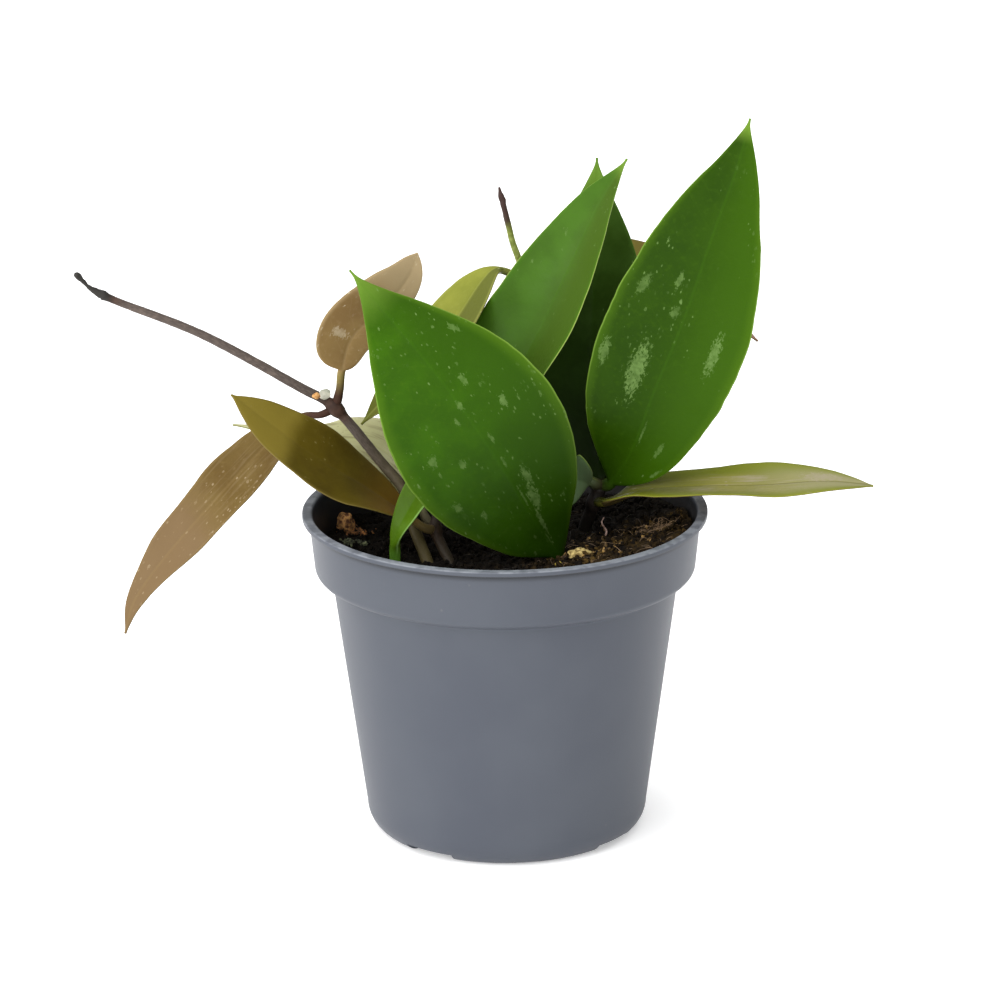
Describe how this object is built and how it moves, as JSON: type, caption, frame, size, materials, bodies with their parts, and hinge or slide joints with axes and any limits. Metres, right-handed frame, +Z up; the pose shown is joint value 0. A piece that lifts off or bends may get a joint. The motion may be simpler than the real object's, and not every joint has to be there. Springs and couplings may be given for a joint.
{
  "type": "potted hoya plant",
  "caption": "Young hoya in a thin grey nursery pot: pointed fleshy leaves flecked with silver, reddish new leaves, bare trailing stem, dark potting mix",
  "frame": {"origin": "centre of the pot's foot, on the surface that it stands on", "axes": "+Z up along the pot's axis, -Y towards the viewer of the picture, +X to that viewer's right"},
  "size_m": [0.2341, 0.12, 0.2146],
  "materials": {
    "pot": "satin blue-grey injection-moulded polypropylene",
    "soil": "loose dark peat and fibre, dull",
    "stem": "purplish brown young bark, dull",
    "green_leaf": "waxy green skin with silver flecks",
    "light_leaf": "waxy yellow-green skin",
    "olive_leaf": "waxy olive-brown skin",
    "bronze_leaf": "satin pinkish bronze skin with pale flecks",
    "chip": "rough yellow clay",
    "bark": "rough orange-brown bark"
  },
  "bodies": {
    "root": {"pot": "pot", "soil": "soil", "left_stem": "stem", "back_stem": "stem", "right_stem": "stem", "front_leaf": "green_leaf", "low_leaf": "light_leaf", "middle_leaf": "green_leaf", "dark_leaf": "green_leaf", "right_leaf": "green_leaf", "low_right_leaf": "olive_leaf", "small_leaf": "bronze_leaf", "olive_leaf": "olive_leaf", "drooping_leaf": "bronze_leaf", "pale_leaf": "light_leaf", "yellow_leaf": "light_leaf", "hidden_leaf": "olive_leaf", "clay_chip": "chip", "bark_chip": "bark"}
  },
  "joints": []
}
